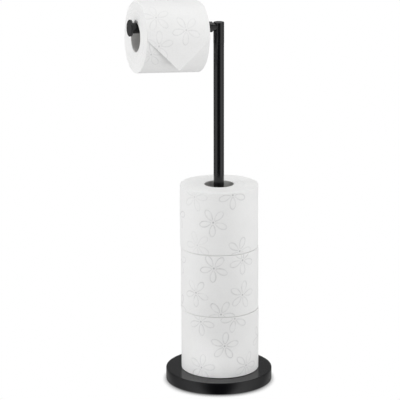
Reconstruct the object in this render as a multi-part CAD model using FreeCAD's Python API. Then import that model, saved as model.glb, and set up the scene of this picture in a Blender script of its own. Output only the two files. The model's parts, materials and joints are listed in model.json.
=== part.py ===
import FreeCAD, Part
import math
import os

from FreeCAD import Vector

# A free-standing toilet paper holder with its rolls: a weighted round base, a pole with three spare
# rolls on it, and a head that turns on the pole and carries one arm with the roll in use.
# Millimetres. +Z is up, the origin is the middle of the base's underside, and the arm points along -X.

# Base
BASE_D = 165.0
BASE_H = 18.6
BASE_EDGE_R = 1.2
COVER_T = 1.2
COVER_LIFT = 0.8  # the cover's rim stands this far above the floor
PAD_D = 156.0
PAD_T = 2.8
WEIGHT_GAP = 0.4  # between the ballast and the cover's wall

# Bolt in the base (M8)
BOLT_R = 3.95
BOLT_HOLE_R = 4.0
BOLT_HEAD_FLATS = 13.0
BOLT_HEAD_H = 5.3
BOLT_STICKS_UP = 20.0
POCKET_PLAY = 0.2

# Pole
POLE_D = 16.0
POLE_WALL = 1.2
POLE_TOP = 530.0
FOOT_PLUG_L = 24.0
BUSH_L = 34.0

# Swivel: a split sleeve round the spigot, in the bush
SPIGOT_R = 4.5
SLEEVE_WALL = 1.0
RUNNING_GAP = 0.05
SLEEVE_L = 30.0
SLEEVE_SLOT = 1.0
FLANGE_T = 0.6
FLANGE_R = 7.5
SPIGOT_TAIL = 2.8  # spigot below the sleeve, with the clip's groove
CLIP_T = 0.8
CLIP_R = 5.3
GROOVE_R = 3.6

# Head
HEAD_D = 16.3
HEAD_WALL = 1.25
HEAD_TOP = 562.8
CAP_T = 1.5
CAP_BEVEL = 0.7
CAP_PLUG_L = 2.5
SPIGOT_SEAT_L = 14.0

# Arm: its axis crosses the pole's at ARM_HEIGHT and rises by ARM_TILT degrees towards the end
ARM_HEIGHT = 555.3
ARM_TILT = 2.6
ARM_D = 16.0
ARM_WALL = 1.2
ARM_START = 11.3
ARM_REACH = 141.65
NECK_D = 12.3
NECK_PILOT_R = 3.0
NECK_PILOT_END = 5.6
ARM_THREAD_R = 3.95
ARM_THREAD_L = 14.0
ROOT_PLUG_L = 18.0
END_PLUG_L = 18.0
DISC_D = 25.0
DISC_T = 3.0
DISC_EDGE_R = 0.9
DISC_STUD_R = 2.95
DISC_STUD_L = 11.0
THREAD_PLAY = 0.05

# Rolls
GAP = 0.3  # between pieces that move apart
CORE_R = 22.0
CORE_T = 0.8
ROLL_W = 97.7
SPARE_D = 120.0
HUNG_D = 106.8
HUNG_W = 98.0
HUNG_START = 33.1  # along the arm, from the pole's axis
SPARE_NAMES = ("bottom", "middle", "top")
# The spare rolls hang loose on the pole, each a little off its axis in this direction
LEAN = Vector(math.cos(math.radians(20.6)), -math.sin(math.radians(20.6)), 0)
SPARE_SHIFT = (1.9, 1.3, 0.4)

# The roll's last sheet lies over the front of the roll and hangs down in a point
SHEET_T = 0.4
SHEET_ON_ROLL = 75.0  # degrees of the roll's surface that it covers
POINT_RISE = 4.0  # where the folds start, above the roll's axis
POINT_DROP = 41.5
POINT_OFFSET = 2.5  # the point is this far from the middle of the sheet, towards the pole

Z_AXIS = Vector(0, 0, 1)


def cylinder(radius, z_low, z_high):
    return Part.makeCylinder(radius, z_high - z_low, Vector(0, 0, z_low))


def ring(radius_out, radius_in, z_low, z_high):
    return cylinder(radius_out, z_low, z_high).cut(cylinder(radius_in, z_low, z_high))


def hexagon(flats, z_low, z_high):
    radius = flats / math.sqrt(3.0)
    corners = [
        Vector(radius * math.cos(k * math.pi / 3), radius * math.sin(k * math.pi / 3), z_low)
        for k in range(7)
    ]
    return Part.Face(Part.makePolygon(corners)).extrude(Vector(0, 0, z_high - z_low))


def rounded_top(shape, z, size, chamfer=False):
    """Rounds or chamfers the outermost circular edge at height z."""
    edges = [e for e in shape.Edges if isinstance(e.Curve, Part.Circle) and abs(e.Curve.Center.z - z) < 1e-6]
    rim = max(edges, key=lambda e: e.Curve.Radius)
    return shape.makeChamfer(size, [rim]) if chamfer else shape.makeFillet(size, [rim])


def along_arm(shape):
    """Turns a shape made along +Z to lie along the arm, with the pole's axis at its zero."""
    placed = shape.copy()
    placed.rotate(Vector(0, 0, 0), Vector(0, 1, 0), ARM_TILT - 90.0)
    placed.translate(Vector(0, 0, ARM_HEIGHT))
    return placed


def along_roll(shape):
    """The same, on the axis of the roll that hangs on the arm: its core rests on top of the arm."""
    placed = shape.copy()
    placed.translate(Vector(-(CORE_R - ARM_D / 2 - GAP), 0, 0))
    return along_arm(placed)


def base_pieces():
    top_inside = BASE_H - COVER_T
    cover = rounded_top(cylinder(BASE_D / 2, COVER_LIFT, BASE_H), BASE_H, BASE_EDGE_R)
    cover = cover.cut(cylinder(BASE_D / 2 - COVER_T, COVER_LIFT, top_inside))
    cover = cover.cut(cylinder(BOLT_HOLE_R, top_inside, BASE_H))
    head_top = PAD_T + BOLT_HEAD_H
    weight = cylinder(BASE_D / 2 - COVER_T - WEIGHT_GAP, PAD_T, top_inside)
    weight = weight.cut(hexagon(BOLT_HEAD_FLATS + POCKET_PLAY, PAD_T, head_top))
    weight = weight.cut(cylinder(BOLT_HOLE_R, head_top, top_inside))
    bolt = hexagon(BOLT_HEAD_FLATS, PAD_T, head_top).fuse(cylinder(BOLT_R, head_top, BASE_H + BOLT_STICKS_UP))
    return {
        "base_cover": cover,
        "base_weight": weight,
        "base_bolt": bolt.removeSplitter(),
        "non_slip_pad": cylinder(PAD_D / 2, 0, PAD_T),
    }


def pole_pieces():
    bore = POLE_D / 2 - POLE_WALL
    sleeve_out = SPIGOT_R + RUNNING_GAP + SLEEVE_WALL
    return {
        "pole_tube": ring(POLE_D / 2, bore, BASE_H, POLE_TOP),
        "pole_foot_plug": ring(bore, BOLT_HOLE_R, BASE_H, BASE_H + FOOT_PLUG_L),
        "pole_top_bush": ring(bore, sleeve_out + RUNNING_GAP, POLE_TOP - BUSH_L, POLE_TOP),
    }


def sleeve_piece():
    inside = SPIGOT_R + RUNNING_GAP
    flange_low = POLE_TOP + RUNNING_GAP
    flange_top = flange_low + FLANGE_T
    sleeve = cylinder(inside + SLEEVE_WALL, POLE_TOP - SLEEVE_L, flange_top)
    sleeve = sleeve.fuse(cylinder(FLANGE_R, flange_low, flange_top))
    sleeve = sleeve.cut(cylinder(inside, POLE_TOP - SLEEVE_L, flange_top))
    slot = Part.makeBox(FLANGE_R + 1, SLEEVE_SLOT, SLEEVE_L + 2, Vector(0, -SLEEVE_SLOT / 2, POLE_TOP - SLEEVE_L))
    return {"swivel_sleeve": sleeve.cut(slot).removeSplitter()}


def head_pieces():
    bottom = POLE_TOP + 2 * RUNNING_GAP + FLANGE_T
    bore = HEAD_D / 2 - HEAD_WALL
    tube_top = HEAD_TOP - CAP_T
    pilot_hole = along_arm(cylinder(NECK_PILOT_R, 0, HEAD_D))
    tube = ring(HEAD_D / 2, bore, bottom, tube_top).cut(pilot_hole)
    cap = rounded_top(cylinder(HEAD_D / 2, tube_top, HEAD_TOP), HEAD_TOP, CAP_BEVEL, chamfer=True)
    cap = cap.fuse(cylinder(bore, tube_top - CAP_PLUG_L, tube_top))

    sleeve_end = POLE_TOP - SLEEVE_L
    clip_top = sleeve_end - 2 * RUNNING_GAP
    groove_top = clip_top + RUNNING_GAP
    groove_low = clip_top - CLIP_T - RUNNING_GAP
    spigot = cylinder(SPIGOT_R, sleeve_end - SPIGOT_TAIL, bottom)
    spigot = spigot.fuse(cylinder(bore, bottom, bottom + SPIGOT_SEAT_L))
    spigot = spigot.cut(ring(SPIGOT_R + 1, GROOVE_R, groove_low, groove_top))
    clip = ring(CLIP_R, GROOVE_R + RUNNING_GAP, clip_top - CLIP_T, clip_top)
    mouth = Part.makeBox(CLIP_R + 1, 2 * GROOVE_R, CLIP_T, Vector(0, -GROOVE_R, clip_top - CLIP_T))
    return {
        "head_tube": tube,
        "head_cap": cap.removeSplitter(),
        "head_spigot": spigot.removeSplitter(),
        "spigot_clip": clip.cut(mouth),
    }


def arm_pieces():
    bore = ARM_D / 2 - ARM_WALL
    disc_face = ARM_REACH - DISC_T
    collar = along_arm(cylinder(NECK_D / 2, 0, ARM_START)).cut(cylinder(HEAD_D / 2, POLE_TOP, HEAD_TOP + CAP_T))
    pilot = along_arm(cylinder(NECK_PILOT_R, NECK_PILOT_END, ARM_START))
    thread = along_arm(cylinder(ARM_THREAD_R, ARM_START, ARM_START + ARM_THREAD_L))
    disc = rounded_top(cylinder(DISC_D / 2, disc_face, ARM_REACH), ARM_REACH, DISC_EDGE_R)
    disc = disc.fuse(cylinder(DISC_STUD_R, disc_face - DISC_STUD_L, disc_face))
    root_plug = ring(bore, ARM_THREAD_R + THREAD_PLAY, ARM_START, ARM_START + ROOT_PLUG_L)
    end_plug = ring(bore, DISC_STUD_R + THREAD_PLAY, disc_face - END_PLUG_L, disc_face)
    return {
        "arm_neck": collar.fuse([pilot, thread]).removeSplitter(),
        "arm_root_plug": along_arm(root_plug),
        "arm_tube": along_arm(ring(ARM_D / 2, bore, ARM_START, disc_face)),
        "arm_end_plug": along_arm(end_plug),
        "arm_end_disc": along_arm(disc.removeSplitter()),
    }


def loose_sheet():
    """The layer on the roll and the folded point that hangs plumb from the roll's front."""
    radius = HUNG_D / 2
    end = HUNG_START + HUNG_W
    middle = HUNG_START + HUNG_W / 2 - POINT_OFFSET - POINT_DROP * math.sin(math.radians(ARM_TILT))
    layer = Part.makeCylinder(radius + SHEET_T, HUNG_W, Vector(0, 0, HUNG_START), Z_AXIS, SHEET_ON_ROLL)
    layer.rotate(Vector(0, 0, 0), Z_AXIS, -90.0)
    layer = layer.cut(cylinder(radius, HUNG_START, end))
    front = -radius - SHEET_T
    corners = [
        Vector(POINT_RISE, front, HUNG_START),
        Vector(POINT_RISE, front, end),
        Vector(-POINT_DROP, front, middle),
    ]
    point = Part.Face(Part.makePolygon(corners + corners[:1])).extrude(Vector(0, SHEET_T, 0))
    return along_roll(layer.fuse(point).removeSplitter())


def hung_roll_pieces():
    end = HUNG_START + HUNG_W
    return {
        "hung_roll_core": along_roll(ring(CORE_R + CORE_T, CORE_R, HUNG_START, end)),
        "hung_roll_paper": along_roll(ring(HUNG_D / 2, CORE_R + CORE_T, HUNG_START, end)),
        "hung_roll_loose_sheet": loose_sheet(),
    }


def spare_roll_pieces():
    pieces = {}
    for k, name in enumerate(SPARE_NAMES):
        low = BASE_H + GAP + k * (ROLL_W + GAP)
        shift = LEAN * SPARE_SHIFT[k]
        core = ring(CORE_R + CORE_T, CORE_R, low, low + ROLL_W)
        paper = ring(SPARE_D / 2, CORE_R + CORE_T, low, low + ROLL_W)
        core.translate(shift)
        paper.translate(shift)
        pieces["spare_roll_" + name + "_core"] = core
        pieces["spare_roll_" + name + "_paper"] = paper
    return pieces


def main():
    os.makedirs("parts", exist_ok=True)
    groups = (
        base_pieces(),
        pole_pieces(),
        sleeve_piece(),
        head_pieces(),
        arm_pieces(),
        hung_roll_pieces(),
        spare_roll_pieces(),
    )
    for group in groups:
        for name, shape in group.items():
            shape.exportStep("parts/" + name + ".step")
            print(name, "solids", len(shape.Solids), "valid", shape.isValid(), "cm3", round(shape.Volume / 1000, 2))


main()
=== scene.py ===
"""The looks of the toilet paper holder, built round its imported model. Metres, +Z up, the arm along -X."""

import json
import math

import bpy
import numpy as np
from mathutils import Matrix, Vector


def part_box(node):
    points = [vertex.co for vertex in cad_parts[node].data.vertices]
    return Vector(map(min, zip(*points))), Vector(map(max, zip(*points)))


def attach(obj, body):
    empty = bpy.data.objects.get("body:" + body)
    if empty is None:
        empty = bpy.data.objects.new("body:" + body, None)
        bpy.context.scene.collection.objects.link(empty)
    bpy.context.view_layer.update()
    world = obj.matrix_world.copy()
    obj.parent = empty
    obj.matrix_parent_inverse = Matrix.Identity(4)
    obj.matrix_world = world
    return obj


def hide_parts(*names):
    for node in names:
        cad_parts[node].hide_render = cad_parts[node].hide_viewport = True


MM = 0.001

# Camera: a long lens, a little above the holder, in front of it and to the side that the arm points to
CAMERA_AZIMUTH = -20.6
CAMERA_REACH = 2.950
CAMERA_HEIGHT = 1.0545
CAMERA_PITCH = 14.585
CAMERA_YAW = -0.56
CAMERA_ROLL = -0.16
CAMERA_LENS = 178.9
SENSOR = 36.0

# How much the powder coat mirrors, and how much the same coat mirrors on the base cover: less there, a painted
# shade standing in for the darker floor near the base that its side mirrors
COAT_MIRRORS = 0.5
COVER_MIRRORS_DIMMED_FOR_SHADE = 0.34

# The cores' cardboard in two lightnesses, painted light and shade for how lit their bores are: darker on the spare
# rolls, lighter on the hung roll
SPARE_CORE_PAINTED_DARKER = 0.46
HUNG_CORE_PAINTED_LIGHTER = 0.72

# Base cover
COVER_T = 1.2 * MM
COVER_EDGE_R = 1.2 * MM
COVER_EDGE_STEPS = 9  # points of the rounded edge
COVER_ROUND = 360  # and round the cover

# Seeds of the random draws: each roll has its own, its core that much more
SEED_SPARE = 11
SEED_HUNG = 31
SEED_CORE = 50
SEED_SHEET = 71

# Rolls of tissue
GRID_ROUND = 500
GRID_ALONG = 122
END_RINGS = 22  # rings of points from the rim of a wound end to its core
EDGE_R = 0.6 * MM
SEAM_FIRST = 105.0  # azimuth of the last turn's edge on the lowest spare roll, in degrees
SEAM_NEXT = 50.0  # and how much further round it is on each roll above
SEAM_HUNG = 100.0
OUT_OF_ROUND = 0.18 * MM
END_RING = 0.10 * MM  # how far the rings of a wound end stand out or in
END_SLIP = 0.12 * MM  # how far its turns have slipped
END_SUNK = 0.10 * MM  # and how far it is set back as a whole
SHEET_STEP = 0.35 * MM  # the last turn's edge stands out by this
TAIL_LIFT = 0.9 * MM  # and lifts off by this much more
TAIL_LENGTH = 9.0 * MM

# Pressed flowers: outlines of dots, on the rolls and on the last sheet
EMBOSS_DEPTH = 0.38 * MM
DOT_R = 0.70 * MM
DOT_STEP = 2.1 * MM
CENTRE_R = 1.4 * MM
DOT_UNEVEN = 0.75  # how much less than its neighbours a dot may be pressed
PETALS = 5
PETAL_IN = 3.0 * MM
PETAL_OUT = 22.0 * MM
PETAL_HALF = 4.5 * MM
FLOWER_ROW = 37.0 * MM
FLOWER_COLUMN = 75.4 * MM
FLOWER_CLEAR = 42.0 * MM  # no flower is filled in with its centre closer than this to another's
FLOWER_FADE = 1.0 * MM  # the pressing fades out over this much at the roll's ends
FLOWER_PAST = 11.0 * MM  # a flower may be cut off with its centre this far past the roll's end

# The last sheet: its corners are folded behind it into a point, which hangs from the roll's front
SHEET_T = 0.25 * MM
SHEET_WRAP = 75.0  # degrees of the roll that it covers
FOLD_START = 4.0 * MM  # the folds start this far above the roll's axis
FOLD_DROP = 41.5 * MM  # and meet in the point this far below it,
FOLD_AT = 46.4 * MM  # this far across the sheet
FOLD_R = 0.45 * MM
FOLD_OPEN = 5.0  # degrees that the folded corners stand open
SHEET_GRID = 0.5 * MM
SHEET_OFF = 0.35 * MM  # the sheet lies this far off the roll
SHEET_HANGS_OFF = 0.95 * MM  # and hangs off it by this much more
SHEET_WAVE = 0.3 * MM
SHEET_PRESSED = 0.75 * MM  # its torn-off end and its folded corners lie closer by this
SHEET_EASE = 16.0 * MM  # the length over which each of these comes in

# Flowers on the side that the camera sees, in millimetres round the roll and along it, their turn in
# degrees and how deeply they are pressed. The rest of each roll is filled in rows.
FRONT_FLOWERS = {
    "bottom": (
        (7, 52, 6, 1.0), (-31, 89, 30, 0.8), (23, 95, 50, 0.8), (-30, 15, 10, 0.8), (44, 16, 25, 0.8),
    ),
    "middle": (
        (-9, 78, 41, 1.0), (-39, 36, 36, 0.9), (37, 33, 12, 0.9), (2, 5, 30, 1.0), (37, 88, 36, 0.9),
    ),
    "top": (
        (-9, 52, 41, 1.0), (21, 94, 36, 0.9), (33, 5, 20, 0.9), (-40, 89, 15, 0.4), (-35, 14, 50, 0.4),
    ),
    "hung": ((-18, 90, 20, 0.6),),
    "sheet": ((18, 37, 60, 0.5), (-5, 80, 20, 0.5), (38, 81, 10, 0.45)),
}
FILL_FROM = 70.0 * MM  # the rows start this far round from the middle of that side
FILL_PRESS = 0.8

# The rolls' cardboard tubes: a spiral seam, a groove inside, and soft ends
CORE_ROUND = 144
CORE_ALONG = 64
CORE_END = 0.3 * MM
CORE_NARROWER = 0.1 * MM
CORE_UNEVEN = 0.08 * MM
CORE_SEAM_DEPTH = 0.18 * MM
CORE_SEAM_HALF = 1.4 * MM
CORE_SEAM_PITCH = 62.0 * MM

# Floor: it shines, and a contact shadow is painted into its glow round the base, falling towards the camera's side
CONTACT_REACH = 0.0145
CONTACT_DARK = 0.12  # how bright the floor is in the deepest shadow
SHADOW_BACK = 0.0  # up to this far in front of the pole the shadow is fainter by SHADOW_FAINT,
SHADOW_FRONT = 0.065  # and from this far on it is full
SHADOW_FAINT = 1.3
FLOOR_BOUNCE = 0.64  # the share of the floor's brightness that lights the object

# Surroundings: three soft windows in the walls, each with its azimuth from the camera's, half its width
# and its soft edge, in degrees. The front one is dark: it is what the black parts mirror.
FRONT_WINDOW = (0.0, 29.0, 24.0)
LIGHT_FRONT = 0.012  # the walls' strength in the front window
LIGHT_ROUND = 1.05  # and outside it
BACK_WINDOW = (180.0, 90.0, 45.0)
LIGHT_BACK = 0.24  # times this in the back window
RIGHT_WINDOW = (65.0, 30.0, 30.0)
LIGHT_RIGHT = 1.15  # and times this in the right one
WALL_FULL = 19.0  # the walls darken from this elevation
WALL_END = 30.0  # to this one,
WALL_ABOVE = 0.1  # to this share
TOP_FROM = 36.0  # the light overhead starts at this elevation
TOP_FULL = 60.0  # and is full from this one
LIGHT_TOP = 1.72

# Soft lights: azimuth from the camera's, distance, height, the height on the pole's axis that they aim
# at, size, spread in degrees and power. The first aims at the hung roll, so it has no height to aim at.
ROLL_LIGHT = (25.0, 0.75, 0.62, 0.4, 60.0, 0.16)
SOFT_LIGHTS = {
    "left_light": (-75.0, 1.2, 0.65, 0.4, 0.6, 180.0, 5.0),
    "right_light": (75.0, 1.2, 0.25, 0.2, 0.6, 180.0, 3.0),
    "back_light": (180.0, 1.4, 0.6, 0.3, 0.8, 180.0, 4.5),
    "stack_light": (0.0, 0.9, 0.25, 0.17, 0.3, 44.0, 0.035),
    "low_light": (-15.0, 0.8, 0.06, 0.0, 0.08, 14.0, 0.009),
}


def smooth(t):
    t = np.clip(t, 0.0, 1.0)
    return t * t * (3.0 - 2.0 * t)


def heading(azimuth):
    """x and y of the level unit vector to an azimuth, in degrees from -Y towards +X."""
    way = math.radians(azimuth)
    return math.sin(way), -math.cos(way)


# ---------------------------------------------------------------- materials

def node(tree, kind, **inputs):
    made = tree.nodes.new(kind)
    for name, value in inputs.items():
        made.inputs[name.replace("_", " ")].default_value = value
    return made


def material(name):
    made = bpy.data.materials.new(name)
    made.use_nodes = True
    tree = made.node_tree
    shader = tree.nodes["Principled BSDF"]
    return made, tree, shader


def coordinates(tree, kind):
    return tree.nodes.new("ShaderNodeTexCoord").outputs[kind]


def noise(tree, scale, detail, rough=0.55):
    made = node(tree, "ShaderNodeTexNoise", Scale=scale, Detail=detail, Roughness=rough)
    tree.links.new(coordinates(tree, "Object"), made.inputs["Vector"])
    return made.outputs["Fac"]


def ramp(tree, source, low, high, at=(0.3, 0.7)):
    """A colour from low to high: low where the source is at[0] or less, high where it is at[1] or more."""
    made = tree.nodes.new("ShaderNodeValToRGB")
    made.color_ramp.elements[0].position, made.color_ramp.elements[1].position = at
    made.color_ramp.elements[0].color = (*low, 1.0)
    made.color_ramp.elements[1].color = (*high, 1.0)
    tree.links.new(source, made.inputs["Fac"])
    return made.outputs["Color"]


def grey(value):
    return (value, value, value)


def bump(tree, shader, heights):
    """Adds (height output, strength, distance) bumps to the shader, one on the other."""
    normal = None
    for height, strength, distance in heights:
        made = node(tree, "ShaderNodeBump", Strength=strength, Distance=distance)
        tree.links.new(height, made.inputs["Height"])
        if normal:
            tree.links.new(normal, made.inputs["Normal"])
        normal = made.outputs["Normal"]
    tree.links.new(normal, shader.inputs["Normal"])


def black_coat(name, specular):
    made, tree, shader = material(name)
    shader.inputs["Specular IOR Level"].default_value = specular
    cloud = noise(tree, 22.0, 3.0)
    speck = noise(tree, 900.0, 2.0)
    colour = ramp(tree, speck, (0.0025, 0.0025, 0.003), (0.0055, 0.0055, 0.0065), (0.35, 0.7))
    tree.links.new(colour, shader.inputs["Base Color"])
    tree.links.new(ramp(tree, cloud, grey(0.17), grey(0.22)), shader.inputs["Roughness"])
    bump(tree, shader, [(speck, 0.12, 0.0002)])
    return made


def attribute(tree, name):
    made = tree.nodes.new("ShaderNodeAttribute")
    made.attribute_name = name
    return made.outputs["Fac"]


def combine(tree, operation, a, b):
    made = tree.nodes.new("ShaderNodeMath")
    made.operation = operation
    tree.links.new(a, made.inputs[0])
    tree.links.new(b, made.inputs[1])
    return made.outputs[0]


def map_range(tree, value, given, wanted, interpolation="LINEAR"):
    made = node(tree, "ShaderNodeMapRange", From_Min=given[0], From_Max=given[1],
                To_Min=wanted[0], To_Max=wanted[1])
    made.interpolation_type = interpolation
    tree.links.new(value, made.inputs["Value"])
    return made.outputs["Result"]


def toward(tree, vector, azimuth):
    """How far a vector reaches towards an azimuth."""
    made = tree.nodes.new("ShaderNodeVectorMath")
    made.operation = "DOT_PRODUCT"
    made.inputs[1].default_value = (*heading(azimuth), 0)
    tree.links.new(vector, made.inputs[0])
    return made.outputs["Value"]


def darken(tree, colour, amount, tint):
    made = tree.nodes.new("ShaderNodeMix")
    made.data_type = "RGBA"
    made.blend_type = "MULTIPLY"
    tree.links.new(amount, made.inputs["Factor"])
    tree.links.new(colour, made.inputs["A"])
    made.inputs["B"].default_value = (*tint, 1.0)
    return made.outputs["Result"]


def tissue():
    """Creped paper, with painted shade: the pressed dots and the fine grooves between the turns on the wound ends
    are darkened.
    """
    made, tree, shader = material("embossed_tissue")
    shader.inputs["Roughness"].default_value = 0.95
    shader.inputs["Sheen Weight"].default_value = 0.1
    shader.inputs["Specular IOR Level"].default_value = 0.15
    cloud = noise(tree, 35.0, 3.0)
    colour = ramp(tree, cloud, (0.885, 0.885, 0.88), (0.91, 0.91, 0.905))
    # painted shade: the pressed dots are darkened, standing in for the shade in their hollows
    colour = darken(tree, colour, attribute(tree, "emboss_painted_shade"), (0.50, 0.50, 0.51))
    fibre = noise(tree, 520.0, 5.0, 0.65)
    thin = ramp(tree, fibre, grey(0.0), grey(1.0), (0.45, 0.75))
    colour = darken(tree, colour, thin, (0.95, 0.95, 0.95))
    turns = tree.nodes.new("ShaderNodeTexNoise")
    turns.noise_dimensions = "1D"
    turns.inputs["Scale"].default_value = 1900.0
    turns.inputs["Detail"].default_value = 3.0
    tree.links.new(attribute(tree, "wound"), turns.inputs["W"])
    # painted shade: the grooves between the turns on a wound end are darkened, where the bump below sinks them
    turn = ramp(tree, turns.outputs["Fac"], grey(1.0), grey(0.0), (0.35, 0.6))
    turn = combine(tree, "MULTIPLY", turn, attribute(tree, "end"))
    colour = darken(tree, colour, turn, (0.94, 0.94, 0.94))
    tree.links.new(colour, shader.inputs["Base Color"])
    crepe = noise(tree, 900.0, 2.0, 0.5)
    bump(tree, shader, [(fibre, 0.25, 0.0004), (crepe, 0.15, 0.0002), (turn, 0.35, -0.0003)])
    return made


def cardboard(name, shade):
    made, tree, shader = material(name)
    shader.inputs["Roughness"].default_value = 0.9
    shader.inputs["Specular IOR Level"].default_value = 0.2
    fibre = noise(tree, 420.0, 6.0, 0.7)
    fleck = noise(tree, 60.0, 3.0)
    dark = (shade, shade * 0.99, shade * 0.97)
    tree.links.new(ramp(tree, fleck, dark, [c * 1.12 for c in dark]), shader.inputs["Base Color"])
    bump(tree, shader, [(fibre, 0.3, 0.0003)])
    return made


def plain(name, colour, roughness, metallic, scale):
    """A machined or moulded surface: a little colour and grain variation."""
    made, tree, shader = material(name)
    shader.inputs["Metallic"].default_value = metallic
    grain = noise(tree, scale, 4.0)
    tree.links.new(ramp(tree, grain, [c * 0.88 for c in colour], colour), shader.inputs["Base Color"])
    rough = ramp(tree, grain, grey(roughness * 0.9), grey(min(1.0, roughness * 1.1)))
    tree.links.new(rough, shader.inputs["Roughness"])
    bump(tree, shader, [(grain, 0.15, 0.0003)])
    return made


# ---------------------------------------------------------------- paper geometry

def flower_dots(turn):
    """Points of a flower's pressed outline round its centre: five long petals, and a dot in the middle."""
    t = np.linspace(0.06, 1.0, 400)
    half = PETAL_HALF * np.sin(math.pi * t ** 1.4) ** 0.5
    reach = PETAL_IN + (PETAL_OUT - PETAL_IN) * t
    side, out = np.concatenate([half, -half[::-1]]), np.concatenate([reach, reach[::-1]])
    run = np.concatenate([[0.0], np.cumsum(np.hypot(np.diff(side), np.diff(out)))])
    stops = np.linspace(0.0, run[-1], round(run[-1] / DOT_STEP) + 1)
    side, out = np.interp(stops, run, side), np.interp(stops, run, out)
    dots = [np.zeros((1, 2))]
    for petal in range(PETALS):
        heading = math.radians(turn + 360.0 / PETALS * petal)
        ahead = np.array((math.sin(heading), math.cos(heading)))
        beside = np.array((ahead[1], -ahead[0]))
        dots.append(out[:, None] * ahead + side[:, None] * beside)
    return np.concatenate(dots)


def flower_field(placed, around, along):
    """All flowers on a roll, in metres: the placed ones, then staggered rows in line with the first."""
    flowers = [(a * MM, z * MM, t, press) for a, z, t, press in placed]
    first_a, first_z, _, _ = flowers[0]
    count = round(around / FLOWER_COLUMN)
    lowest = math.ceil((-FLOWER_PAST - first_z) / FLOWER_ROW)
    highest = math.floor((along + FLOWER_PAST - first_z) / FLOWER_ROW)
    for row in range(lowest, highest + 1):
        for column in range(count):
            a = first_a + (column + 0.5 * (row % 2)) * around / count
            z = first_z + row * FLOWER_ROW
            near = min(
                math.hypot((a - f[0] + around / 2) % around - around / 2, z - f[1]) for f in flowers
            )
            from_front = abs((a + around / 2) % around - around / 2)
            if near > FLOWER_CLEAR and from_front > FILL_FROM:
                flowers.append((a, z, (37 * column + 23 * row) % 72, FILL_PRESS))
    return flowers


def emboss_grid(rng, flowers, arcs, alongs, around=None):
    """How far each point of a grid is pressed in, from 0 to 1. around is the turn's length, if it closes."""
    pressed = np.zeros((len(arcs), len(alongs)))
    reach = 2.6 * CENTRE_R
    for a, z, turn, press in flowers:
        dots = flower_dots(turn)
        faint = DOT_UNEVEN * np.convolve(rng.uniform(-0.4, 1.4, len(dots) + 4), np.full(5, 0.2), "valid")
        strength = press * (1.0 - np.clip(faint, 0.0, 1.0))
        strength[0] = press
        for index, (dx, dy) in enumerate(dots):
            size = CENTRE_R if index == 0 else DOT_R
            gap = arcs - (a + dx)
            if around:
                gap = (gap + around / 2.0) % around - around / 2.0
            i = np.where(np.abs(gap) < reach)[0]
            k = np.where(np.abs(alongs - (z + dy)) < reach)[0]
            if len(i) and len(k):
                far = np.hypot(gap[i][:, None], (alongs[k] - (z + dy))[None, :])
                spot = strength[index] * np.exp(-((far / size) ** 2))
                pressed[np.ix_(i, k)] = np.maximum(pressed[np.ix_(i, k)], spot)
    return pressed


def waves(rng, count, u, v, u_turns, v_length):
    """A sum of a few slow waves over u (radians) and v (metres), about 1 high."""
    total = np.zeros(np.broadcast(u, v).shape)
    for _ in range(count):
        turns = rng.integers(1, u_turns + 1)
        total = total + rng.uniform(0.4, 1.0) * np.sin(
            turns * u + rng.uniform(0, 2 * math.pi) + 2 * math.pi * v / v_length * rng.uniform(-1.0, 1.0)
        )
    return total / math.sqrt(count)


def new_mesh(name, points, quads):
    mesh = bpy.data.meshes.new(name)
    mesh.vertices.add(len(points))
    mesh.vertices.foreach_set("co", np.asarray(points, np.float32).ravel())
    mesh.loops.add(4 * len(quads))
    mesh.loops.foreach_set("vertex_index", np.asarray(quads, np.int32).ravel())
    mesh.polygons.add(len(quads))
    mesh.polygons.foreach_set("loop_start", np.arange(0, 4 * len(quads), 4, dtype=np.int32))
    mesh.polygons.foreach_set("use_smooth", np.full(len(quads), True))
    mesh.update(calc_edges=True)
    mesh.validate()
    made = bpy.data.objects.new(name, mesh)
    bpy.context.scene.collection.objects.link(made)
    return made


def set_attribute(made, name, values):
    layer = made.data.attributes.new(name, "FLOAT", "POINT")
    layer.data.foreach_set("value", np.asarray(values, np.float32).ravel())


def torus_quads(n_round, n_profile, outside_up):
    """Quads of a grid that closes both ways, point (i, k) at index i * n_profile + k.

    outside_up says whether the profile runs up the outside; the quads face out of the solid either way."""
    i, k = np.meshgrid(np.arange(n_round), np.arange(n_profile), indexing="ij")
    ni, nk = (i + 1) % n_round, (k + 1) % n_profile
    corners = [i * n_profile + k, ni * n_profile + k, ni * n_profile + nk, i * n_profile + nk]
    quads = np.stack([c.ravel() for c in corners], 1)
    return quads if outside_up else quads[:, ::-1]


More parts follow.
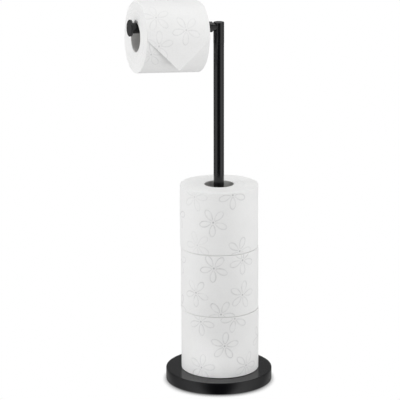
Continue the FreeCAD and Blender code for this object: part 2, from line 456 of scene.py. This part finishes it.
def winding(name, key, radius, core, width, seam, seed, front):
    """A roll of tissue round its own +Z from 0 to width: pressed flowers, soft edges, wound ends.

    seam is the azimuth of the last turn's edge and front that of the side the flowers are placed from,
    both in degrees from -Y towards +X."""
    rng = np.random.default_rng(seed)
    around = 2 * math.pi * radius
    turn = np.linspace(0.0, 2 * math.pi, GRID_ROUND, endpoint=False)
    azimuth = turn + math.radians(seam)
    z_side = np.linspace(EDGE_R, width - EDGE_R, GRID_ALONG)
    bend = np.linspace(0.0, math.pi / 2, 5)[1:]
    r_end = np.linspace(radius - EDGE_R, core, END_RINGS + 1)[1:]

    # The profile runs up the outside, over the top end, down the bore and out over the bottom end
    rs = [np.full(GRID_ALONG, radius), radius - EDGE_R + EDGE_R * np.cos(bend), r_end]
    zs = [z_side, width - EDGE_R + EDGE_R * np.sin(bend), np.full(END_RINGS, width)]
    rs += [r_end[::-1], radius - EDGE_R + EDGE_R * np.cos(bend[::-1])]
    zs += [np.zeros(END_RINGS), EDGE_R - EDGE_R * np.sin(bend[::-1])]
    r, z = np.concatenate(rs), np.concatenate(zs)
    count = len(r)
    r = np.tile(r, (GRID_ROUND, 1))
    z = np.tile(z, (GRID_ROUND, 1))
    outer = np.clip((r - core) / (radius - core), 0.0, 1.0)

    # The last turn ends in a small step, and the side is not quite round
    tail = TAIL_LIFT * np.exp(-((turn * radius / TAIL_LENGTH) ** 2))[:, None] * (outer > 0.98)
    tail = tail * (1.0 + 0.3 * waves(rng, 3, 0.0, z, 1, 0.08))
    step = SHEET_STEP * (0.5 - turn / (2 * math.pi))[:, None] * smooth((outer - 0.7) / 0.3) + tail
    uneven = OUT_OF_ROUND * waves(rng, 5, azimuth[:, None], z, 4, 0.2) * smooth((outer - 0.5) / 0.5)

    # Wound ends: shallow rings, a soft crown and a few slipped turns
    is_end = (z <= EDGE_R * 0.999) | (z >= width - EDGE_R * 0.999)
    flat_end = smooth((outer - 0.02) / 0.1) * smooth((0.985 - outer) / 0.05)
    rings = rng.normal(0.0, END_RING, END_RINGS + 1)
    ring_at = np.interp(outer, np.linspace(0.0, 1.0, END_RINGS + 1), rings)
    slip = END_SLIP * waves(rng, 4, azimuth[:, None], 0.05 * r, 3, 0.01)
    lift = (ring_at + slip) * flat_end * is_end
    z = np.where(z > width / 2, z + lift - END_SUNK * is_end, z - lift + END_SUNK * is_end)

    arcs = ((azimuth - math.radians(front) + math.pi) % (2 * math.pi) - math.pi) * radius
    side = np.zeros((GRID_ROUND, count))
    flowers = flower_field(FRONT_FLOWERS[key], around, width)
    pressed = emboss_grid(rng, flowers, arcs, z_side, around)
    fade = smooth((z_side - EDGE_R) / FLOWER_FADE) * smooth((width - EDGE_R - z_side) / FLOWER_FADE)
    side[:, :GRID_ALONG] = pressed * fade[None, :]
    r = r + step + uneven - EMBOSS_DEPTH * side

    x, y = r * np.sin(azimuth)[:, None], -r * np.cos(azimuth)[:, None]
    points = np.stack([x, y, z], -1).reshape(-1, 3)
    made = new_mesh(name, points, torus_quads(GRID_ROUND, count, True))
    # the pressed amount, which the tissue material also uses as painted shade in the dots
    set_attribute(made, "emboss_painted_shade", side)
    set_attribute(made, "wound", r)
    set_attribute(made, "end", smooth((outer - 0.01) / 0.03) * smooth((0.995 - outer) / 0.02) * is_end)
    return made


def folded_sheet(name, radius, width, flowers):
    """The last sheet in the roll's own frame: down over the front of the roll, then plumb to its point.

    It is a flat grid, u across and v down from its torn-off end, wrapped round the roll and then folded."""
    rng = np.random.default_rng(SEED_SHEET)
    wrapped = math.radians(SHEET_WRAP) * radius
    length = wrapped + FOLD_DROP
    n_u, n_v = round(width / SHEET_GRID) + 1, round(length / SHEET_GRID) + 1
    u, v = np.meshgrid(np.linspace(0.0, width, n_u), np.linspace(0.0, length, n_v), indexing="ij")
    height = wrapped - v
    pressed = emboss_grid(
        rng, flowers, np.linspace(wrapped, -FOLD_DROP, n_v), np.linspace(0.0, width, n_u),
    ).T

    # Each corner goes behind along a line from the sheet's edge to the point
    behind = np.zeros(u.shape)
    across, up = u.copy(), height.copy()
    for edge in (0.0, width):
        start, end = np.array((edge, FOLD_START)), np.array((FOLD_AT, -FOLD_DROP))
        along = (end - start) / np.linalg.norm(end - start)
        out = np.array((along[1], -along[0])) * (1.0 if edge == 0.0 else -1.0)
        past = (u - start[0]) * out[0] + (height - start[1]) * out[1]
        bent = np.clip(past / FOLD_R, 0.0, math.pi)
        flat = np.clip(past - math.pi * FOLD_R, 0.0, None)
        opened = math.radians(FOLD_OPEN)
        move = np.where(past > 0.0, FOLD_R * np.sin(bent) - flat * math.cos(opened) - past, 0.0)
        across += move * out[0]
        up += move * out[1]
        behind += np.where(past > 0.0, FOLD_R * (1.0 - np.cos(bent)) + flat * math.sin(opened), 0.0)

    # Close to the roll the folded corners are pinched between it and the front layer
    room = radius - np.sqrt(np.clip(radius ** 2 - np.clip(up, -radius, 0.0) ** 2, 0.0, None))
    behind = np.minimum(behind, SHEET_PRESSED + 0.7 * room)
    hanging = smooth((SHEET_EASE - up) / SHEET_EASE)
    stand = SHEET_OFF + SHEET_HANGS_OFF * hanging
    stand += SHEET_WAVE * hanging * waves(rng, 4, across * 40.0, up, 2, 0.1)
    stand -= SHEET_PRESSED * smooth(1.0 - v / SHEET_EASE)
    reach = radius + stand - behind - EMBOSS_DEPTH * pressed
    angle = np.clip(up, 0.0, None) / radius
    x = np.where(up > 0.0, reach * np.sin(angle), up)
    y = -reach * np.cos(angle)
    points = np.stack([x, y, across], -1).reshape(-1, 3)
    i, k = np.meshgrid(np.arange(n_u - 1), np.arange(n_v - 1), indexing="ij")
    corners = [i * n_v + k, i * n_v + k + 1, (i + 1) * n_v + k + 1, (i + 1) * n_v + k]
    made = new_mesh(name, points, np.stack([c.ravel() for c in corners], 1))
    # the pressed amount, which the tissue material also uses as painted shade in the dots
    set_attribute(made, "emboss_painted_shade", pressed)
    return made, (width, length)


def core_tube(name, radius_in, radius_out, width, seed):
    """A spiral-wound cardboard tube round +Z: its seam is a shallow groove, its ends are a little soft."""
    rng = np.random.default_rng(seed)
    turn = np.linspace(0.0, 2 * math.pi, CORE_ROUND, endpoint=False)[:, None]
    z_in = np.linspace(CORE_END, width - CORE_END, CORE_ALONG)
    wall = radius_out - radius_in
    r = np.concatenate([
        np.full(CORE_ALONG, radius_in), [radius_in + 0.25 * wall, radius_out - 0.25 * wall],
        [radius_out, radius_out], [radius_out - 0.25 * wall, radius_in + 0.25 * wall],
    ])
    z = np.concatenate([z_in, [width, width], [width - CORE_END, CORE_END], [0.0, 0.0]])
    r, z = np.tile(r, (CORE_ROUND, 1)), np.tile(z, (CORE_ROUND, 1))
    inside = np.zeros(r.shape[1])
    inside[:CORE_ALONG] = 1.0
    phase = (turn / (2 * math.pi) + z / CORE_SEAM_PITCH) % 1.0
    seam = np.exp(-(((phase - 0.5) * CORE_SEAM_PITCH / CORE_SEAM_HALF) ** 2))
    wobble = CORE_UNEVEN * waves(rng, 4, turn, z, 3, 0.08)
    r = r + (CORE_SEAM_DEPTH * seam + wobble - CORE_NARROWER) * inside
    points = np.stack([r * np.sin(turn), -r * np.cos(turn), z], -1).reshape(-1, 3)
    return new_mesh(name, points, torus_quads(CORE_ROUND, r.shape[1], False))


def base_cover(name, hole, radius, low, high):
    """The pressed cover round +Z: flat top with a hole, rounded edge, plumb side, open underneath."""
    steps = np.linspace(0.0, math.pi / 2, COVER_EDGE_STEPS)
    inside, under = radius - COVER_T, high - COVER_T
    edge_r = radius - COVER_EDGE_R + COVER_EDGE_R * np.sin(steps)
    edge_z = high - COVER_EDGE_R + COVER_EDGE_R * np.cos(steps)
    ring = COVER_EDGE_R / 6.0  # a narrow ring beside each edge keeps the faces' shading flat
    r = [hole, hole + ring, (hole + radius) / 2.0, edge_r[0] - ring, *edge_r, radius, radius, radius - ring]
    z = [high, high, high, high, *edge_z, edge_z[-1] - ring, low + ring, low]
    r += [inside + ring, inside, inside, inside, inside - ring, hole + ring, hole, hole]
    z += [low, low + ring, under - ring, under, under, under, under + ring, high - ring]
    turn = np.linspace(0.0, 2 * math.pi, COVER_ROUND, endpoint=False)[:, None]
    r, z = np.tile(r, (COVER_ROUND, 1)), np.tile(z, (COVER_ROUND, 1))
    points = np.stack([r * np.sin(turn), -r * np.cos(turn), z], -1).reshape(-1, 3)
    return new_mesh(name, points, torus_quads(COVER_ROUND, r.shape[1], False))


# ---------------------------------------------------------------- pieces

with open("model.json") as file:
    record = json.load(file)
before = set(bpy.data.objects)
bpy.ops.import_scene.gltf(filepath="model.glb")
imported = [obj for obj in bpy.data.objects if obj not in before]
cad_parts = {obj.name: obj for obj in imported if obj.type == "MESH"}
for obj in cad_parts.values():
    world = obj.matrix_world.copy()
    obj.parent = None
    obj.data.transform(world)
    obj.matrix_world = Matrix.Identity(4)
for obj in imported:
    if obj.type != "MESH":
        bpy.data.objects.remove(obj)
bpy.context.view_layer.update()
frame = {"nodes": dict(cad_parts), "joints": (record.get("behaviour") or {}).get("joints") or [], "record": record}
nodes = frame["nodes"]
spin = next(j for j in frame["joints"] if j["name"] == "roll_spin")
paper = tissue()


def coat_parts(board):
    finishes = {
        "black_coat": black_coat("black_powder_coat", COAT_MIRRORS),
        "cast_iron": plain("cast_iron", (0.11, 0.11, 0.115), 0.75, 0.6, 180.0),
        "plated_steel": plain("zinc_plate", (0.62, 0.62, 0.6), 0.35, 1.0, 500.0),
        "pad_rubber": plain("foam_rubber", (0.014, 0.014, 0.014), 0.95, 0.0, 700.0),
        "nylon": plain("black_nylon", (0.03, 0.03, 0.032), 0.5, 0.0, 600.0),
        "cardboard": board,
        "tissue": paper,
    }
    for part in frame["record"]["subparts"]:
        found = nodes[part["node"]]
        found.data.materials.clear()
        found.data.materials.append(finishes[part["material_slot"]])


def radial(node_name, centre, axis):
    """A node's smallest and largest distance from an axis, and its lowest and highest place on it."""
    co = np.array([v.co for v in nodes[node_name].data.vertices], float) - np.array(centre)
    run = co @ np.array(axis)
    far = np.linalg.norm(co - run[:, None] * np.array(axis), axis=1)
    return far.min(), far.max(), run.min(), run.max()


def add_base_cover():
    cover = base_cover("base_shell", *radial("base_cover", (0, 0, 0), (0, 0, 1)))
    # painted shade: the base cover's coat mirrors less than the pole's, for the darker floor that it mirrors
    cover.data.materials.append(black_coat("powder_coat_dimmed_for_shade", COVER_MIRRORS_DIMMED_FOR_SHADE))
    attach(cover, "base")
    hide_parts("base_cover")


def place_roll(key, paper_node, core_node, body, place, size, seed, seam, front, board):
    """size is the roll's radius, its core's inner and outer radius, and its width."""
    radius, core_in, core_out, width = size
    wound = winding(f"{key}_roll_winding", key, radius, core_out, width, seam, seed, front)
    tube = core_tube(f"{key}_roll_tube", core_in, core_out, width, seed + SEED_CORE)
    for made, slot, finish, replaced in (
        (wound, "tissue", paper, paper_node),
        (tube, "cardboard", board, core_node),
    ):
        made.data.transform(place)
        made.data.update()
        made.data.materials.append(finish)
        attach(made, body)
        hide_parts(replaced)


def add_spare_roll(number, key, board):
    paper_node = f"spare_roll_{key}_paper"
    core_node = f"spare_roll_{key}_core"
    low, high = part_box(paper_node)
    centre = Vector(((low.x + high.x) / 2, (low.y + high.y) / 2, low.z))
    core_in, core_out, _, _ = radial(core_node, centre, (0, 0, 1))
    _, radius, _, width = radial(paper_node, centre, (0, 0, 1))
    place_roll(
        key, paper_node, core_node, "spare_roll_" + key, Matrix.Translation(centre),
        (radius, core_in, core_out, width), SEED_SPARE + number, SEAM_FIRST + SEAM_NEXT * number,
        CAMERA_AZIMUTH, board,
    )


def add_hung_roll(board):
    axis = Vector(spin["axis"]).normalized()
    core_in, core_out, start, end = radial("hung_roll_core", spin["pos_m"], axis)
    _, radius, _, _ = radial("hung_roll_paper", spin["pos_m"], axis)
    # The roll's own frame: +Z along the arm, -Y to the front, so +X is up
    across = Vector((0, 1, 0))
    turned = Matrix((across.cross(axis), across, axis)).transposed().to_4x4()
    place = Matrix.Translation(Vector(spin["pos_m"]) + axis * start) @ turned
    place_roll(
        "hung", "hung_roll_paper", "hung_roll_core", "hung_roll", place,
        (radius, core_in, core_out, end - start), SEED_HUNG, SEAM_HUNG, 0.0, board,
    )
    add_last_sheet(place, radius, end - start)


def add_last_sheet(place, radius, width):
    flowers = [(a * MM, z * MM, t, press) for a, z, t, press in FRONT_FLOWERS["sheet"]]
    last, flat_size = folded_sheet("last_sheet", radius, width, flowers)
    last.data.transform(place)
    last.data.materials.append(paper)
    thick = last.modifiers.new("thickness", "SOLIDIFY")
    thick.thickness = SHEET_T
    thick.offset = 0.0
    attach(last, "hung_roll")
    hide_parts("hung_roll_loose_sheet")


# painted light and shade: one cardboard, darker in the spare rolls' cores and lighter in the hung roll's
spare_board_painted_darker = cardboard("cardboard_painted_darker", SPARE_CORE_PAINTED_DARKER)
hung_board_painted_lighter = cardboard("cardboard_painted_lighter", HUNG_CORE_PAINTED_LIGHTER)
coat_parts(spare_board_painted_darker)
add_base_cover()
for number, key in enumerate(("bottom", "middle", "top")):
    add_spare_roll(number, key, spare_board_painted_darker)
add_hung_roll(hung_board_painted_lighter)


# ---------------------------------------------------------------- stage, light and camera

def add_floor():
    """A pale floor that shines evenly, apart from a contact shadow painted into its glow, and lights the object
    less.
    """
    bpy.ops.mesh.primitive_plane_add(size=14.0, location=(0, 0, 0))
    floor = bpy.context.object
    floor.name = "floor"
    made, tree, shader = material("pale_floor")
    shader.inputs["Base Color"].default_value = (0.0, 0.0, 0.0, 1.0)
    shader.inputs["Specular IOR Level"].default_value = 0.0
    shader.inputs["Emission Color"].default_value = (1.0, 1.0, 1.0, 1.0)
    # painted shadow: the floor's glow is darkened round the base by ambient occlusion, more towards the camera's
    # side
    near = tree.nodes.new("ShaderNodeAmbientOcclusion")
    near.samples = 16
    near.inputs["Distance"].default_value = CONTACT_REACH
    ahead = map_range(
        tree, toward(tree, coordinates(tree, "Object"), CAMERA_AZIMUTH),
        (SHADOW_BACK, SHADOW_FRONT), (SHADOW_FAINT, 1.0),
    )
    contact = combine(tree, "MULTIPLY", near.outputs["AO"], ahead)
    glow = ramp(tree, contact, grey(CONTACT_DARK), grey(1.0), (0.45, 0.97))
    seen = tree.nodes.new("ShaderNodeLightPath").outputs["Is Camera Ray"]
    share = map_range(tree, seen, (0.0, 1.0), (FLOOR_BOUNCE, 1.0))
    tree.links.new(combine(tree, "MULTIPLY", glow, share), shader.inputs["Emission Strength"])
    floor.data.materials.append(made)
    floor.visible_glossy = False


def wall_light(tree, window, level, inside):
    """How bright the walls are in each direction: inside in the window, level elsewhere."""
    azimuth, half, soft = window
    flat = tree.nodes.new("ShaderNodeVectorMath")
    flat.operation = "MULTIPLY"
    flat.inputs[1].default_value = (1, 1, 0)
    tree.links.new(coordinates(tree, "Generated"), flat.inputs[0])
    unit = tree.nodes.new("ShaderNodeVectorMath")
    unit.operation = "NORMALIZE"
    tree.links.new(flat.outputs[0], unit.inputs[0])
    edge = (math.cos(math.radians(half + soft)), math.cos(math.radians(max(0.0, half - soft))))
    way = toward(tree, unit.outputs[0], CAMERA_AZIMUTH + azimuth)
    return map_range(tree, way, edge, (level, inside), "SMOOTHSTEP")


def by_elevation(tree, low, high, wanted):
    """A value that goes from wanted[0] below the elevation low to wanted[1] above high, in degrees."""
    split = tree.nodes.new("ShaderNodeSeparateXYZ")
    tree.links.new(coordinates(tree, "Generated"), split.inputs[0])
    edge = (math.sin(math.radians(low)), math.sin(math.radians(high)))
    return map_range(tree, split.outputs["Z"], edge, wanted, "SMOOTHSTEP")


def add_surroundings():
    """Soft studio walls and a light overhead. The camera itself sees plain white."""
    world = bpy.data.worlds.new("studio")
    bpy.context.scene.world = world
    world.use_nodes = True
    tree = world.node_tree
    tree.nodes.clear()
    out = tree.nodes.new("ShaderNodeOutputWorld")
    shade = tree.nodes.new("ShaderNodeBackground")
    shade.inputs["Color"].default_value = (1.0, 1.0, 1.0, 1.0)
    walls = wall_light(tree, FRONT_WINDOW, LIGHT_ROUND, LIGHT_FRONT)
    for window, inside in ((BACK_WINDOW, LIGHT_BACK), (RIGHT_WINDOW, LIGHT_RIGHT)):
        walls = combine(tree, "MULTIPLY", walls, wall_light(tree, window, 1.0, inside))
    walls = combine(tree, "MULTIPLY", walls, by_elevation(tree, WALL_FULL, WALL_END, (1.0, WALL_ABOVE)))
    overhead = by_elevation(tree, TOP_FROM, TOP_FULL, (0.0, LIGHT_TOP))
    seen = tree.nodes.new("ShaderNodeLightPath").outputs["Is Camera Ray"]
    brightest = combine(tree, "MAXIMUM", combine(tree, "MAXIMUM", walls, overhead), seen)
    tree.links.new(brightest, shade.inputs["Strength"])
    tree.links.new(shade.outputs[0], out.inputs["Surface"])


def add_softbox(name, azimuth, distance, height, aim, size, spread, power):
    data = bpy.data.lights.new(name, "AREA")
    data.shape = "DISK"
    data.size = size
    data.spread = math.radians(spread)
    data.energy = power
    made = bpy.data.objects.new(name, data)
    bpy.context.scene.collection.objects.link(made)
    x, y = heading(CAMERA_AZIMUTH + azimuth)
    place = Vector((x * distance, y * distance, height))
    look = (Vector(aim) - place).to_track_quat("-Z", "Y")
    made.matrix_world = Matrix.Translation(place) @ look.to_matrix().to_4x4()
    made.visible_glossy = False


def add_camera():
    data = bpy.data.cameras.new("camera")
    data.lens = CAMERA_LENS
    data.sensor_width = SENSOR
    data.clip_end = 50.0
    made = bpy.data.objects.new("camera", data)
    bpy.context.scene.collection.objects.link(made)
    bpy.context.scene.camera = made
    x, y = heading(CAMERA_AZIMUTH)
    place = Vector((x * CAMERA_REACH, y * CAMERA_REACH, CAMERA_HEIGHT))
    turn = Matrix.Rotation(math.radians(CAMERA_AZIMUTH - CAMERA_YAW), 4, "Z")
    tilt = Matrix.Rotation(math.radians(90.0 - CAMERA_PITCH), 4, "X")
    roll = Matrix.Rotation(math.radians(CAMERA_ROLL), 4, "Z")
    made.matrix_world = Matrix.Translation(place) @ turn @ tilt @ roll


add_floor()
add_surroundings()
azimuth, distance, height, size, spread, power = ROLL_LIGHT
add_softbox("roll_light", azimuth, distance, height, spin["pos_m"], size, spread, power)
for name, (azimuth, distance, height, aim_height, size, spread, power) in SOFT_LIGHTS.items():
    add_softbox(name, azimuth, distance, height, (0, 0, aim_height), size, spread, power)
add_camera()
bpy.context.scene.view_settings.view_transform = "Standard"
